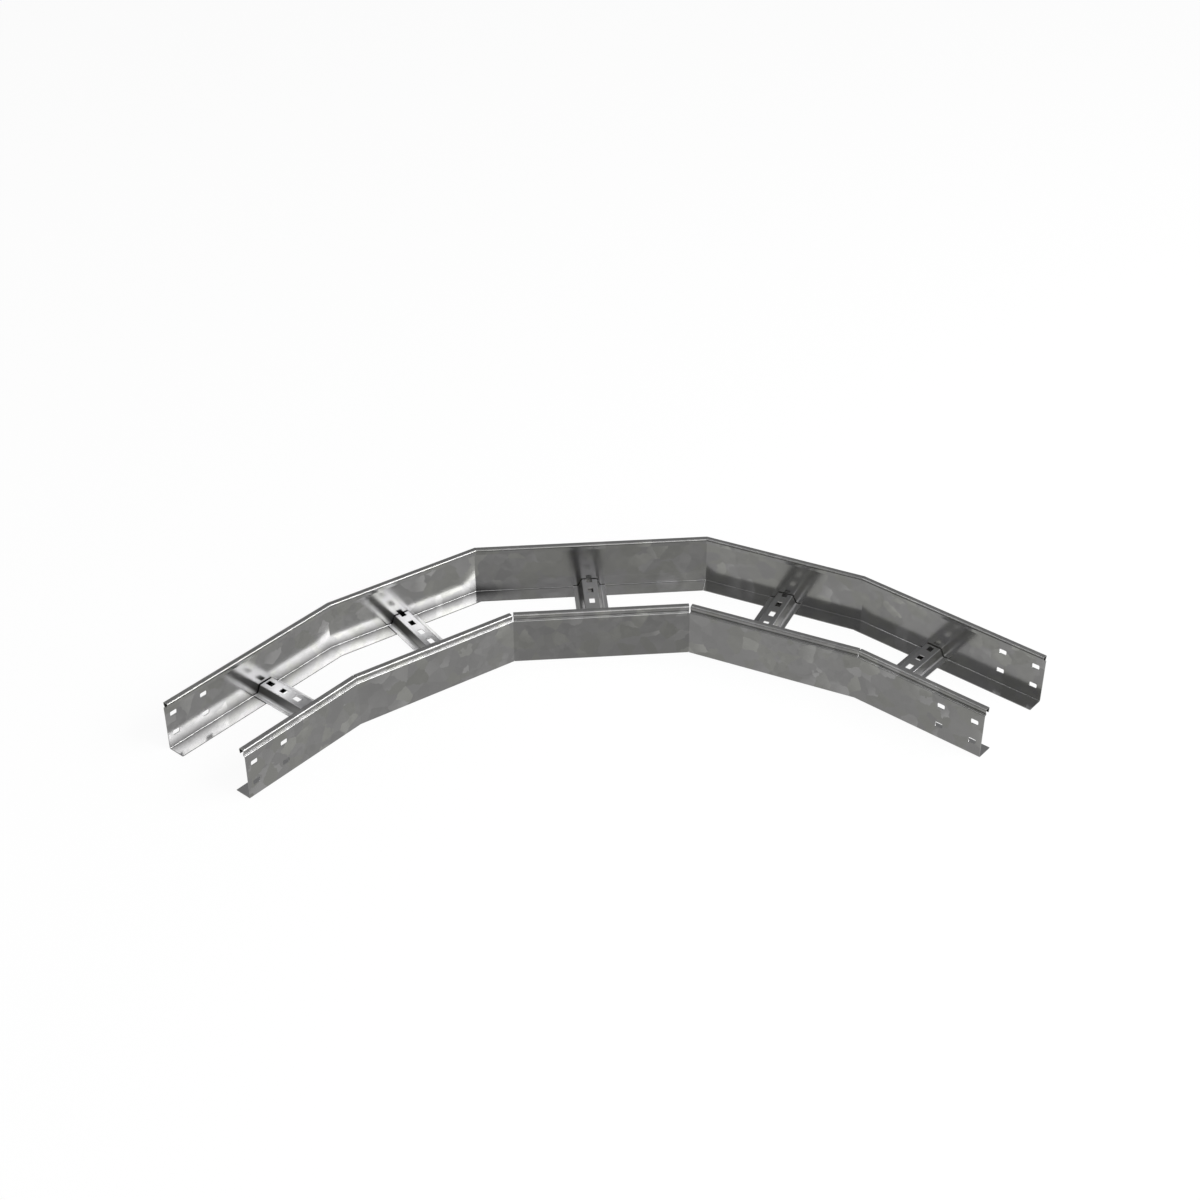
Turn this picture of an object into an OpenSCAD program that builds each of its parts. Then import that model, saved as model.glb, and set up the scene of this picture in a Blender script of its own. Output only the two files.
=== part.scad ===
// Right-angle horizontal bend of a cable ladder, in galvanised sheet steel.
// Two rolled side rails are notched and folded at four kinks, and five
// hat-section rungs lie across them on the bottom flanges.
// One leg runs along -Y and the other along +X, with the middle of the curve
// towards +X and -Y. The underside of the rails is z = 0, and the origin is
// the middle of the plan's box.

/* [Plan] */
// Clear width between the rail webs along the two end legs
leg_clear_w = 196; // [150:1:260]
// Clear width between the rail webs along the three middle facets
facet_clear_w = 220; // [200:1:275]
// Length of the inner rail along each end leg
leg_len = 250; // [230:1:400]
// Length of the inner rail along each of the three middle facets
facet_len = 309; // [240:1:450]
// Turn at the kink next to each end leg, in degrees
leg_kink = 15; // [12:1:18]

/* [Rail section] */
// Height of the side rails
rail_h = 100; // [80:1:140]
// Thickness of the rail sheet
rail_t = 1.5; // [1:0.1:2]
// Inside radius of the rolled bend between the flange and the web
roll_r = 1.5; // [0.5:0.1:2]
// Inside radius of the rolled bends at the two edges of the cap
cap_r = 2; // [0.5:0.1:2.5]
// Inside radius of the two bends at the web's ledge
ledge_r = 1; // [0.3:0.1:1]
// Width of the bottom flange, from the web's outer face
flange_w = 33; // [25:1:45]
// Distance of the web's ledge below the top
ledge_drop = 13.1; // [11:0.1:16]
// Depth of the ledge, from the web in to the wall under the cap
ledge_depth = 3.6; // [3:0.1:5]
// Rise of the ledge over its depth
ledge_rise = 1; // [0:0.1:2]
// Distance of the cap's front edge behind the web's outer face
cap_set_back = 0.1; // [0:0.1:2]
// Width of the top cap, from the web's outer face
cap_w = 13.5; // [11:0.5:20]
// Height of the lip turned down from the cap
lip_h = 10.5; // [7:0.5:11]
// Lean of the lip's edge back towards the web
lip_lean = 1.5; // [0:0.5:3]

/* [Kinks] */
// Inside radius of the web's fold at each kink
fold_r = 4; // [3:0.5:8]
// Width of the slit through the inner rail's cap at the two middle kinks
slit_w = 1.2; // [0.5:0.1:2]
// Width of the slit through the inner rail's cap at the kinks next to the legs
leg_slit_w = 0.4; // [0.2:0.1:0.8]
// Gap of the mitres in the outer rail's cap and in both flanges
mitre_gap = 0.3; // [0.2:0.1:0.6]
// Depth of the cap's slit below the ledge
slit_drop = 1.5; // [1.5:0.5:8]
// Rise of the flange's slit above the rolled bend
slit_rise = 0.5; // [0.5:0.5:8]

/* [Joint slots] */
// Length of a joint slot, end to end along the rail
joint_slot_len = 14.5; // [10:0.5:24]
// Width of a joint slot
joint_slot_w = 9; // [6:0.5:12]
// Radius of a joint slot's corners
joint_slot_r = 2; // [1:0.5:2.5]
// Crown of a joint slot's ends, which are arcs about half its width
joint_slot_crown = 0.3; // [0.1:0.1:0.5]
// Distance from the rail's end to the first slots
joint_first = 17; // [14:0.5:30]
// Spacing of the slots along the rail
joint_pitch = 64.5; // [40:0.5:90]
// Height of the lower slots
joint_low_z = 27.5; // [18:0.5:34]
// Spacing of the slots up the web
joint_rise = 39.5; // [24:0.5:46]

/* [Rungs] */
// Overall width of a rung
rung_w = 59; // [56:1:80]
// Height of a rung
rung_h = 16; // [14:0.5:30]
// Thickness of the rung sheet
rung_t = 1.5; // [1:0.1:2.5]
// Inside radius of the bends beside a rung's top
rung_top_r = 0.5; // [0.5:0.5:4]
// Inside radius of the bends at the foot of a rung's side walls
rung_foot_r = 6; // [2:0.5:10]
// Width of a rung's top between its bends
rung_top_w = 27; // [20:1:30]
// Slope of each side wall of a rung, measured across
rung_wall_run = 6.5; // [4:0.5:9]
// Gap between a rung's end and the rail's web
rung_gap = 2; // [1:0.1:4]
// Distance from a leg's end to the middle of its rung
leg_rung_from_end = 214.5; // [140:0.5:216]
// Distance along the inner rail from the middle facet to the next rung
facet_rung_from_kink = 99.5; // [60:0.5:180]
// Distance of the middle rung from its facet's middle, towards the -Y leg
mid_rung_off = 4.3; // [0:0.1:20]

/* [Rung slots] */
// Length of a rung slot, end to end along the rung
rung_slot_len = 15; // [12:0.5:26]
// Width of a rung slot
rung_slot_w = 10; // [6:0.5:14]
// Radius of a rung slot's corners
rung_slot_r = 1; // [0.5:0.5:2.5]
// Spacing of the slots along a rung
rung_slot_pitch = 33; // [28:0.5:50]
// Distance from a rung's inner end to its first slot
rung_slot_first = 16; // [10:0.5:30]

/* [Hidden] */
$fn = 48;

// How far a cutter reaches past what it cuts
cut_over = 1;
// Lap of a round fold into the straight lengths, which makes them one sheet
fold_lap = 0.3;
// Flats that draw each round bend of a section, and each fold of a web
bend_steps = 8;
fold_steps = 3;

// Headings of the five straight lengths, from the -Y leg round to the +X leg
facet_kink = 45 - leg_kink;
kinks = [leg_kink, facet_kink, facet_kink, leg_kink];
headings = [90, 90 - leg_kink, 45, leg_kink, 0];
last = len(headings) - 1;

// Width over both webs, and the inner rail's length, in each straight length
widths = [for (i = [0:last]) (i == 0 || i == last ? leg_clear_w : facet_clear_w) + 2 * rail_t];
inner_lens = [for (i = [0:last]) i == 0 || i == last ? leg_len : facet_len];

function along(a) = [cos(a), sin(a)];
function across(a) = [-sin(a), cos(a)];

// Reach of the inner rail from its first leg's face to its second leg's end
inner_reach = leg_len + facet_len * (cos(leg_kink) + sin(leg_kink) + cos(45));
reach = inner_reach + widths[0];

// Corners of the inner web's near face, from the -Y end round to the +X end
function inner_corner(i) = i == 0
    ? [widths[0] - reach / 2, -reach / 2]
    : inner_corner(i - 1) + inner_lens[i - 1] * along(headings[i - 1]);
inner_path = [for (i = [0:last + 1]) inner_corner(i)];

// Corners of the outer web's far face, where the offset straight lengths meet
function overshoot(i) = (widths[i] - widths[i - 1] * cos(kinks[i - 1])) / sin(kinks[i - 1]);
function outer_corner(i) =
    i == 0 ? inner_path[0] + widths[0] * across(headings[0]) :
    i > last ? inner_path[i] + widths[last] * across(headings[last]) :
    inner_path[i] + widths[i - 1] * across(headings[i - 1]) + overshoot(i) * along(headings[i - 1]);
outer_path = [for (i = [0:last + 1]) outer_corner(i)];

// Heights between which the web runs unbroken through a kink
web_low = rail_t + roll_r + slit_rise;
web_high = rail_h - ledge_drop - slit_drop;

// Mid-line corners of the rail's section: flange, web, ledge, cap and lip
rail_mid = rail_t / 2;
rail_section = [
    [flange_w, rail_mid],
    [rail_mid, rail_mid],
    [rail_mid, rail_h - ledge_drop],
    [rail_mid + ledge_depth, rail_h - ledge_drop + ledge_rise],
    [rail_mid + cap_set_back, rail_h - rail_mid],
    [cap_w - rail_mid, rail_h - rail_mid],
    [cap_w - rail_mid - lip_lean, rail_h - lip_h]
];
rail_bends = [roll_r, ledge_r, ledge_r, cap_r, cap_r];

// Mid-line corners of a rung's hat section
rung_mid = rung_t / 2;
rung_foot = rung_top_w / 2 + rung_wall_run;
rung_section = [
    [-rung_w / 2, rung_mid],
    [-rung_foot, rung_mid],
    [-rung_top_w / 2, rung_h - rung_mid],
    [rung_top_w / 2, rung_h - rung_mid],
    [rung_foot, rung_mid],
    [rung_w / 2, rung_mid]
];
rung_bends = [rung_foot_r, rung_top_r, rung_top_r, rung_foot_r];

// Middle of each rung, along its length of the inner rail
rung_places = [
    leg_rung_from_end,
    facet_len - facet_rung_from_kink,
    facet_len / 2 - mid_rung_off,
    facet_rung_from_kink,
    leg_len - leg_rung_from_end
];

// Directions and turns along a section's mid-line
function leg_dir(path, i) = (path[i + 1] - path[i]) / norm(path[i + 1] - path[i]);
function left_of(d) = [-d.y, d.x];
function turned(v, a) = [v.x * cos(a) - v.y * sin(a), v.x * sin(a) + v.y * cos(a)];
function turn_side(path, i) = sign(left_of(leg_dir(path, i - 1)) * leg_dir(path, i));
function turn_angle(path, i) = acos(leg_dir(path, i - 1) * leg_dir(path, i));
function bend_centre(path, i, mid_r) = path[i]
    - leg_dir(path, i - 1) * mid_r * tan(turn_angle(path, i) / 2)
    + left_of(leg_dir(path, i - 1)) * mid_r * turn_side(path, i);

// Point k of the round bend at corner i, on the left (1) or right (-1) face of the sheet
function bend_point(path, i, k, thickness, mid_r, face) =
    bend_centre(path, i, mid_r)
    + (mid_r - face * turn_side(path, i) * thickness / 2)
    * turned(-turn_side(path, i) * left_of(leg_dir(path, i - 1)),
             turn_side(path, i) * turn_angle(path, i) * k / bend_steps);

// One face of the sheet from end to end
function face_points(path, thickness, radii, face) = concat(
    [path[0] + face * left_of(leg_dir(path, 0)) * thickness / 2],
    [for (i = [1:len(path) - 2], k = [0:bend_steps])
        bend_point(path, i, k, thickness, radii[i - 1] + thickness / 2, face)],
    [path[len(path) - 1] + face * left_of(leg_dir(path, len(path) - 2)) * thickness / 2]
);
function reversed(list) = [for (i = [len(list) - 1:-1:0]) list[i]];

// Section of a sheet bent along a mid-line, with flat legs and an inside radius at each bend
module bent_sheet(path, thickness, radii) {
    polygon(concat(face_points(path, thickness, radii, 1),
                   reversed(face_points(path, thickness, radii, -1))));
}

// Slot cutter with rounded corners, long along X and deep along Z
module slot(length, width, corner_r, depth) {
    run = length - 2 * corner_r;
    rise = width - 2 * corner_r;
    cube([length, rise, depth], center = true);
    cube([run, width, depth], center = true);
    for (x = [-run / 2, run / 2], y = [-rise / 2, rise / 2])
        translate([x, y, 0]) cylinder(r = corner_r, h = depth, center = true);
}

// Slot cutter whose ends are crowned by arcs about half its width
module crowned_slot(length, width, corner_r, crown, depth) {
    slot(length - 2 * crown, width, corner_r, depth);
    intersection() {
        cube([length + cut_over, width - 2 * corner_r, depth], center = true);
        for (x = [width - length, length - width])
            translate([x / 2, 0, 0]) cylinder(d = width, h = depth, center = true);
    }
}

// Width of the cap's slit at kink k. side is 1 for a rail whose section lies inside
// the curve, where the slit closes to a mitre, and -1 where it lies outside.
function cap_gap(k, side) =
    side > 0 ? mitre_gap :
    k == 0 || k == len(kinks) - 1 ? leg_slit_w : slit_w;

// Length of the web's face that a fold takes up on each side of its corner
function fold_run(kink, side) = (side > 0 ? fold_r + rail_t : fold_r) * tan(kink / 2);

// Cutter for the end of a straight length at kink k: the web that the round fold
// replaces, and half of the slits through the flange and the cap
module fold_cut(k, side) {
    near = -cut_over;
    far = flange_w + cut_over;
    slope = side > 0 ? tan(kinks[k] / 2) : 0;
    flange_slit = [-cut_over, web_low + cut_over, mitre_gap];
    cap_slit = [web_high - cut_over, rail_h + cut_over, cap_gap(k, side)];
    translate([-far, near, web_low])
        cube([far + fold_run(kinks[k], side), far - near, web_high - web_low]);
    for (slit = [flange_slit, cap_slit])
        translate([0, 0, slit[0]]) linear_extrude(slit[1] - slit[0]) polygon([
            [-far, near],
            [slit[2] / 2 + near * slope, near],
            [slit[2] / 2 + far * slope, far],
            [-far, far]
        ]);
}

// One face of a fold about its centre, with a lap along the first and last flats
function fold_face(r, kink, side) =
    let (half_flat = kink / fold_steps / 2)
    concat(
        [r * [0, -side] + fold_lap * [cos(half_flat), -side * sin(half_flat)]],
        [for (k = [0:fold_steps]) r * [-sin(kink * k / fold_steps), -side * cos(kink * k / fold_steps)]],
        [r * [-sin(kink), -side * cos(kink)]
         + fold_lap * [-cos(kink - half_flat), side * sin(kink - half_flat)]]
    );

// The round fold of the web before a straight length that starts at the origin
module web_fold(kink, side) {
    translate([fold_run(kink, side), side > 0 ? fold_r + rail_t : -fold_r, web_low - fold_lap])
        linear_extrude(web_high - web_low + 2 * fold_lap)
            polygon(concat(fold_face(fold_r, kink, side),
                           reversed(fold_face(fold_r + rail_t, kink, side))));
}

// Straight length i of a rail along X, with its section inwards along Y
module rail_length(i, length, side) {
    difference() {
        rotate([90, 0, 90]) linear_extrude(length) bent_sheet(rail_section, rail_t, rail_bends);
        if (i > 0) fold_cut(i - 1, side);
        if (i < last) translate([length, 0, 0]) mirror([1, 0, 0]) fold_cut(i, side);
    }
    if (i > 0) web_fold(kinks[i - 1], side);
}

// The slots for a joint plate at a rail's end, along X from the origin
module joint_slots() {
    for (x = [0, joint_pitch], z = [0, joint_rise])
        translate([joint_first + x, 0, joint_low_z + z]) rotate([90, 0, 0])
            crowned_slot(joint_slot_len, joint_slot_w, joint_slot_r, joint_slot_crown, 2 * (rail_t + cut_over));
}

// A whole rail along the corners of its web's face
module rail(path, side) {
    difference() {
        for (i = [0:last]) translate(path[i]) rotate(headings[i]) mirror([0, side > 0 ? 1 : 0, 0])
            rail_length(i, norm(path[i + 1] - path[i]), side);
        translate(path[0]) rotate(headings[0]) joint_slots();
        translate(path[last + 1]) rotate(headings[last] + 180) joint_slots();
    }
}

module outer_rail() {
    color("#7f8284") rail(outer_path, 1);
}

module inner_rail() {
    color("#85888a") rail(inner_path, -1);
}

// One rung across its straight length of the tray, lying on both bottom flanges
module rung(i) {
    length = widths[i] - 2 * (rail_t + rung_gap);
    slot_count = floor((length - rung_slot_first + rung_slot_len / 2) / rung_slot_pitch) + 1;
    color("#9a9c9e") translate(inner_path[i]) rotate(headings[i])
        translate([rung_places[i], rail_t + rung_gap, rail_t]) difference() {
            translate([0, length, 0]) rotate([90, 0, 0]) linear_extrude(length)
                bent_sheet(rung_section, rung_t, rung_bends);
            for (k = [0:slot_count - 1])
                translate([0, rung_slot_first + k * rung_slot_pitch, rung_h]) rotate(90)
                    slot(rung_slot_len, rung_slot_w, rung_slot_r, 2 * (rung_t + cut_over));
        }
}

outer_rail();
inner_rail();
rung(0);  // rung_1
rung(1);  // rung_2
rung(2);  // rung_3
rung(3);  // rung_4
rung(4);  // rung_5
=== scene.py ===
import math

import bpy
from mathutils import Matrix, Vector


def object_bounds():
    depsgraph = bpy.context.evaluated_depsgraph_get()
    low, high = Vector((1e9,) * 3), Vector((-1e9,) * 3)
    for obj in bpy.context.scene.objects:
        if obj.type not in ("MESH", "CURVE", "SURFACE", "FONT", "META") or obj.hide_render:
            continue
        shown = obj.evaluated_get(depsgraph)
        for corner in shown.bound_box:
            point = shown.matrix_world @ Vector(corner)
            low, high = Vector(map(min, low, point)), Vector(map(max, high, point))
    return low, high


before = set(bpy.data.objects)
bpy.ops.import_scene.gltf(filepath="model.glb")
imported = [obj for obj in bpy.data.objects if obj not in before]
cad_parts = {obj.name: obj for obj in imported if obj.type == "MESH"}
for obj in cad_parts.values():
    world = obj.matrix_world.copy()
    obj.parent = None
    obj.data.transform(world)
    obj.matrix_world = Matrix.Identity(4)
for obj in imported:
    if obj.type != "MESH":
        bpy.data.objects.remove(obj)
cad_low, cad_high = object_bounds()

# Camera: where it looks, from which side and how far, in the part's own frame
VIEW_TARGET = Vector((-0.25063, 0.26800, 0.0))
VIEW_AZIMUTH = 40.02
VIEW_ELEVATION = 35.12
VIEW_DISTANCE = 3.7438
VIEW_REACH = 100.0
LENS_MM = 61.016
SENSOR_MM = 36.0

# In what follows, a pair named STEP says where a soft change starts and where it is complete

# Galvanised finish: reflectance of the zinc, its warm and cool patches and how rough it is
RAIL_TONE = (0.207, 0.207, 0.203)
RUNG_TONE = (0.40, 0.40, 0.398)
WARM_SHADE = (1.0, 1.0, 0.965)
COOL_SHADE = (1.0, 0.992, 1.0)
WARM_STEP = (0.35, 0.8)
RAIL_ROUGHNESS = 0.18
RUNG_ROUGHNESS = 0.33

# Spangle: crystals and cloudy patches per metre, and how far the crystals' edges wander
LARGE_PER_METRE = 36.0
SMALL_PER_METRE = 88.0
BROAD_PER_METRE = 9.0
BROAD_DETAIL = 3.0
WANDER_PER_METRE = 110.0
WANDER_DETAIL = 2.0
WANDER = 0.008

# How far crystals and patches shift the tone, which crystals are light, and where small ones show
RAIL_SPANGLE = 1.0
RUNG_SPANGLE = 0.45
LARGE_CELL = 0.13
LIGHT_CELL = 0.28
LIGHT_MEAN = 0.2
LIGHT_STEP = (0.62, 0.95)
LIGHT_SIDE_STEP = (-0.25, 0.15)
LIGHT_SIDE_LEAST = 0.15
SMALL_CELL = 0.12
SMALL_STEP = (0.42, 0.6)
SMALL_LEAST = 0.25
BROAD_SHIFT = 0.20
CELL_LEAN = 0.004

# Heights over which a rail goes from its low part, with the flange, to its ledge and cap
HEIGHT_STEP = (0.03, 0.06)

# Faces that look up get painted light, which makes them lighter; they are also calmer and more neutral, all
# less so on the ledge and the cap
TOP_LIGHT_STEP = (0.3, 0.92)
LYING_SHADE = (0.983, 0.983, 1.015)
LYING_SPANGLE = 0.45
RAIL_PAINTED_TOP_LIGHT = 2.8
RUNG_PAINTED_TOP_LIGHT = 1.75
HIGH_SHARE = 0.6

# The rolled ledge and cap are rougher than the web
ROLLED_STEP = (0.02, 0.3)
ROLLED_ROUGHER = 0.16

# Painted shade: webs of the middle lengths are made darker, and so are the flat inside corners of the -Y leg,
# by ambient occlusion
MIDDLE_FACING = (0.7071, -0.7071, 0.0)
MIDDLE_STEP = (0.93, 0.985)
MIDDLE_PAINTED_SHADE = 0.77
CORNER_REACH = 0.025
CORNER_SAMPLES = 16
CORNER_PAINTED_SHADE = 1.12
CORNER_X_STEP = (-0.44, -0.36)
BEND_STEP = (0.0, 0.2)

# Floor, just under the part, and the studio's dim surroundings
FLOOR_HALF = 30.0
FLOOR_DROP = 0.0005
FLOOR_TONE = (0.85, 0.85, 0.85, 1.0)
FLOOR_WHITE = 0.93
WORLD_TONE = (0.25, 0.25, 0.25, 1.0)
WHITE = (1.0, 1.0, 1.0, 1.0)

# Middle of a random value, and the sockets of a Mix node that carry vectors
MIDWAY = 0.5
MIX_FIRST = 4
MIX_SECOND = 5
MIX_RESULT = 1


def direction(azimuth, elevation):
    """Unit vector towards a point of the sky; azimuth 0 is -Y and turns towards +X."""
    a = math.radians(azimuth)
    e = math.radians(elevation)
    return Vector((math.sin(a) * math.cos(e), -math.cos(a) * math.cos(e), math.sin(e)))


def shaded(tone, shade):
    """A tone with a shade over it."""
    return [a * b for a, b in zip(tone, shade)]


class Graph:
    """The node tree of a new material, with short forms for its nodes."""

    def __init__(self, name):
        self.material = bpy.data.materials.new(name)
        self.material.use_nodes = True
        self.nodes = self.material.node_tree.nodes
        self.links = self.material.node_tree.links
        self.nodes.clear()

    def add(self, kind, inputs=None, **settings):
        """A new node whose inputs are linked to sockets or set to plain values."""
        node = self.nodes.new(kind)
        for key, value in settings.items():
            setattr(node, key, value)
        for key, term in (inputs or {}).items():
            if isinstance(term, bpy.types.NodeSocket):
                self.links.new(term, node.inputs[key])
            else:
                node.inputs[key].default_value = term
        return node

    def number(self, operation, *terms):
        return self.add("ShaderNodeMath", dict(enumerate(terms)), operation=operation).outputs[0]

    def vector(self, operation, *terms):
        node = self.add("ShaderNodeVectorMath", dict(enumerate(terms)), operation=operation)
        return node.outputs["Value" if operation == "DOT_PRODUCT" else "Vector"]

    def ramp(self, value, step, to_low, to_high):
        """A soft change from to_low to to_high as the value goes through the step."""
        low, high = step
        inputs = {"Value": value, "From Min": low, "From Max": high, "To Min": to_low, "To Max": to_high}
        return self.add("ShaderNodeMapRange", inputs, interpolation_type="SMOOTHSTEP").outputs[0]

    def blend(self, share, first, second):
        """A vector between two others."""
        inputs = {"Factor": share, MIX_FIRST: first, MIX_SECOND: second}
        return self.add("ShaderNodeMix", inputs, data_type="VECTOR").outputs[MIX_RESULT]

    def noise(self, place, per_metre, detail):
        return self.add("ShaderNodeTexNoise", {"Vector": place, "Scale": per_metre, "Detail": detail}).outputs

    def crystals(self, place, per_metre):
        """Cells that stand for crystals of one size, and three random shades of each."""
        cells = self.add("ShaderNodeTexVoronoi", {"Vector": place, "Scale": per_metre}, feature="F1").outputs
        shades = self.add("ShaderNodeSeparateColor", {"Color": cells["Color"]}).outputs
        return cells, shades


def add_camera():
    data = bpy.data.cameras.new("camera")
    data.lens = LENS_MM
    data.sensor_fit = "HORIZONTAL"
    data.sensor_width = SENSOR_MM
    data.clip_end = VIEW_REACH
    camera = bpy.data.objects.new("camera", data)
    bpy.context.scene.collection.objects.link(camera)
    back = direction(VIEW_AZIMUTH, VIEW_ELEVATION)
    camera.location = VIEW_TARGET + VIEW_DISTANCE * back
    camera.rotation_euler = (-back).to_track_quat("-Z", "Y").to_euler()
    bpy.context.scene.camera = camera


def floor_white():
    """Pale paint that looks nearly white to the camera and in mirrors, and still keeps shadows."""
    graph = Graph("floor_white")
    path = graph.add("ShaderNodeLightPath").outputs
    seen = graph.number("MAXIMUM", path["Is Camera Ray"], path["Is Glossy Ray"])
    seen = graph.number("MAXIMUM", seen, path["Is Transmission Ray"])
    share = graph.number("MULTIPLY", seen, FLOOR_WHITE)
    paint = graph.add("ShaderNodeBsdfDiffuse", {"Color": FLOOR_TONE})
    glow = graph.add("ShaderNodeEmission", {"Color": WHITE})
    mix = graph.add("ShaderNodeMixShader", {"Fac": share, 1: paint.outputs[0], 2: glow.outputs[0]})
    graph.add("ShaderNodeOutputMaterial", {"Surface": mix.outputs[0]})
    return graph.material


def add_floor():
    mesh = bpy.data.meshes.new("floor")
    corners = [(-1, -1), (1, -1), (1, 1), (-1, 1)]
    mesh.from_pydata([(x * FLOOR_HALF, y * FLOOR_HALF, 0.0) for x, y in corners], [], [(0, 1, 2, 3)])
    mesh.materials.append(floor_white())
    floor = bpy.data.objects.new("floor", mesh)
    bpy.context.scene.collection.objects.link(floor)
    floor.location.z = cad_low.z - FLOOR_DROP


def add_world():
    world = bpy.data.worlds.new("studio")
    bpy.context.scene.world = world
    world.use_nodes = True
    background = world.node_tree.nodes["Background"]
    background.inputs["Color"].default_value = WORLD_TONE
    background.inputs["Strength"].default_value = 1.0


def add_softbox(name, azimuth, elevation, distance, width, height, radiance):
    """A rectangular lamp that faces the part and shows that radiance in a mirror."""
    data = bpy.data.lights.new(name, "AREA")
    data.shape = "RECTANGLE"
    data.size = width
    data.size_y = height
    data.energy = radiance * math.pi * width * height
    lamp = bpy.data.objects.new(name, data)
    bpy.context.scene.collection.objects.link(lamp)
    away = direction(azimuth, elevation)
    lamp.location = distance * away
    lamp.rotation_euler = (-away).to_track_quat("-Z", "Y").to_euler()


def add_lamps():
    """A long key lamp and two small ones on the right, broad ones in front and left, a weak one behind."""
    add_softbox("key", azimuth=124.0, elevation=38.0, distance=5.0, width=4.4, height=1.6, radiance=9.3)
    add_softbox("side", azimuth=84.0, elevation=26.0, distance=5.0, width=1.6, height=1.6, radiance=5.5)
    add_softbox("high", azimuth=94.0, elevation=53.0, distance=5.0, width=1.6, height=1.4, radiance=10.0)
    add_softbox("front", azimuth=45.0, elevation=34.0, distance=7.0, width=8.0, height=3.8, radiance=1.7)
    add_softbox("left", azimuth=-40.0, elevation=36.0, distance=7.0, width=8.0, height=3.8, radiance=0.40)
    add_softbox("back", azimuth=274.0, elevation=64.0, distance=5.0, width=1.8, height=1.6, radiance=2.2)


def spangle(graph, place):
    """The zinc crystals at each place: their shift of tone, share of warm hue and lean."""
    drift = graph.noise(place, WANDER_PER_METRE, WANDER_DETAIL)["Color"]
    drift = graph.vector("SUBTRACT", drift, (MIDWAY,) * 3)
    place = graph.vector("MULTIPLY_ADD", drift, (WANDER,) * 3, place)
    cells, large = graph.crystals(place, LARGE_PER_METRE)
    small = graph.crystals(place, SMALL_PER_METRE)[1]
    broad = graph.noise(place, BROAD_PER_METRE, BROAD_DETAIL)["Fac"]

    # Large crystals differ, and some stand out light on one side
    lean = graph.vector("SUBTRACT", cells["Color"], (MIDWAY,) * 3)
    offset = graph.vector("SUBTRACT", place, cells["Position"])
    across = graph.number("MULTIPLY", graph.vector("DOT_PRODUCT", offset, lean), LARGE_PER_METRE)
    light = graph.ramp(large["Red"], LIGHT_STEP, 0.0, LIGHT_CELL)
    light = graph.number("MULTIPLY", light, graph.ramp(across, LIGHT_SIDE_STEP, LIGHT_SIDE_LEAST, 1.0))
    mean = MIDWAY * LARGE_CELL + LIGHT_MEAN * LIGHT_CELL
    even = graph.number("MULTIPLY_ADD", large["Green"], LARGE_CELL, -mean)

    # Small crystals mottle parts of the sheet, over broad cloudy patches
    mottle = graph.number("MULTIPLY", graph.number("SUBTRACT", small["Red"], MIDWAY), SMALL_CELL)
    mottle = graph.number("MULTIPLY", mottle, graph.ramp(broad, SMALL_STEP, SMALL_LEAST, 1.0))
    swell = graph.number("MULTIPLY", graph.number("SUBTRACT", broad, MIDWAY), BROAD_SHIFT)

    swing = graph.number("ADD", graph.number("ADD", even, light), graph.number("ADD", mottle, swell))
    warm = graph.ramp(large["Blue"], WARM_STEP, 0.0, 1.0)
    return swing, warm, lean


def painted_corner_shade(graph, upward, low, along_x):
    """Painted shade: the share of tone that the flat faces of an inside corner lose, from ambient occlusion.
    """
    corner = graph.add("ShaderNodeAmbientOcclusion", {"Distance": CORNER_REACH}, samples=CORNER_SAMPLES)
    shade = graph.number("MULTIPLY", graph.number("SUBTRACT", 1.0, corner.outputs["AO"]), CORNER_PAINTED_SHADE)
    shade = graph.number("MULTIPLY", shade, low)
    shade = graph.number("MULTIPLY", shade, graph.ramp(along_x, CORNER_X_STEP, 1.0, 0.0))
    bend = graph.number("MULTIPLY", upward, graph.number("SUBTRACT", 1.0, upward))
    return graph.number("MULTIPLY", shade, graph.ramp(bend, BEND_STEP, 1.0, 0.0))


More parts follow.
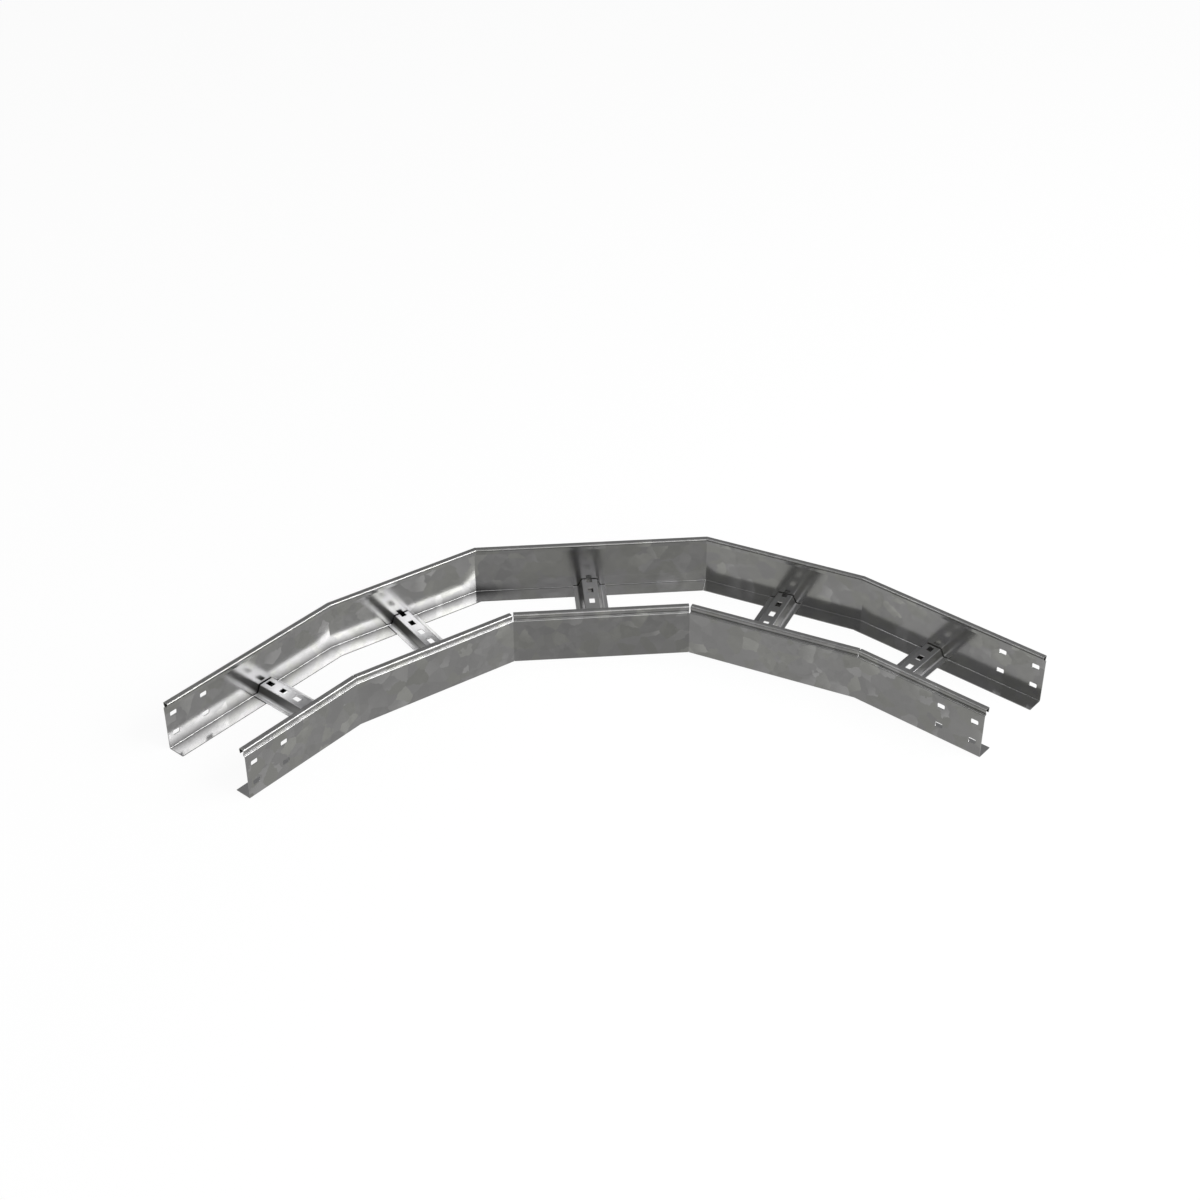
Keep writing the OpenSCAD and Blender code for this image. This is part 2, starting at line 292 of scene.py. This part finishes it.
def galvanised(name, tone, roughness, spangle_share, painted_top_gain, paint_shaded_corners):
    """Zinc-coated sheet: metal with leafy spangle in tone, hue and lie, plus painted light on faces that look
    up and painted shade.
    """
    graph = Graph(name)
    place = graph.add("ShaderNodeTexCoord").outputs["Object"]
    normal = graph.add("ShaderNodeNewGeometry").outputs["Normal"]
    along = graph.add("ShaderNodeSeparateXYZ", {"Vector": place}).outputs
    upward = graph.add("ShaderNodeSeparateXYZ", {"Vector": normal}).outputs["Z"]
    low = graph.ramp(along["Z"], HEIGHT_STEP, 1.0, 0.0)
    # Painted light: where faces look up, less so on the ledge and cap, the tone is made lighter below
    painted_top_light = graph.ramp(upward, TOP_LIGHT_STEP, 0.0, 1.0)
    painted_top_light = graph.number("MULTIPLY", painted_top_light, graph.number("MAXIMUM", low, HIGH_SHARE))
    swing, warm, lean = spangle(graph, place)

    # Tone: the spangle, then the painted light on faces that look up, then the painted shade of the middle
    # webs and the inside corners
    calm = graph.number("MULTIPLY_ADD", painted_top_light, (LYING_SPANGLE - 1.0) * spangle_share, spangle_share)
    level = graph.number("MULTIPLY_ADD", swing, calm, 1.0)
    # Painted light: faces that look up are multiplied by their gain
    level = graph.number("MULTIPLY", level, graph.number("MULTIPLY_ADD", painted_top_light, painted_top_gain - 1.0, 1.0))
    # Painted shade: webs that face along MIDDLE_FACING are made darker
    facing = graph.number("ABSOLUTE", graph.vector("DOT_PRODUCT", normal, MIDDLE_FACING))
    level = graph.number("MULTIPLY", level, graph.ramp(facing, MIDDLE_STEP, 1.0, MIDDLE_PAINTED_SHADE))
    # Painted shade darkens the flat faces of inside corners, from ambient occlusion
    if paint_shaded_corners:
        shade = painted_corner_shade(graph, upward, low, along["X"])
        level = graph.number("MULTIPLY", level, graph.number("SUBTRACT", 1.0, shade))

    hue = graph.blend(warm, shaded(tone, COOL_SHADE), shaded(tone, WARM_SHADE))
    hue = graph.blend(painted_top_light, hue, shaded(tone, LYING_SHADE))
    colour = graph.add("ShaderNodeVectorMath", {0: hue, "Scale": level}, operation="SCALE").outputs["Vector"]
    rolled = graph.ramp(upward, ROLLED_STEP, 0.0, 1.0)
    rolled = graph.number("MULTIPLY", rolled, graph.number("SUBTRACT", 1.0, low))
    rough = graph.number("MULTIPLY_ADD", rolled, ROLLED_ROUGHER, roughness)
    tilt = graph.vector("NORMALIZE", graph.vector("MULTIPLY_ADD", lean, (CELL_LEAN,) * 3, normal))
    finish = {"Base Color": colour, "Metallic": 1.0, "Roughness": rough, "Normal": tilt}
    shader = graph.add("ShaderNodeBsdfPrincipled", finish)
    graph.add("ShaderNodeOutputMaterial", {"Surface": shader.outputs[0]})
    return graph.material


def dress():
    """One zinc finish on the rails, and another on the rungs."""
    rail = galvanised("rail_galvanised", RAIL_TONE, RAIL_ROUGHNESS, RAIL_SPANGLE, RAIL_PAINTED_TOP_LIGHT, True)
    rung = galvanised("rung_galvanised", RUNG_TONE, RUNG_ROUGHNESS, RUNG_SPANGLE, RUNG_PAINTED_TOP_LIGHT, False)
    for name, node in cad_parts.items():
        for slot in node.material_slots:
            slot.material = rung if name.startswith("rung") else rail


bpy.context.scene.view_settings.view_transform = "Standard"
add_camera()
add_floor()
add_world()
add_lamps()
dress()
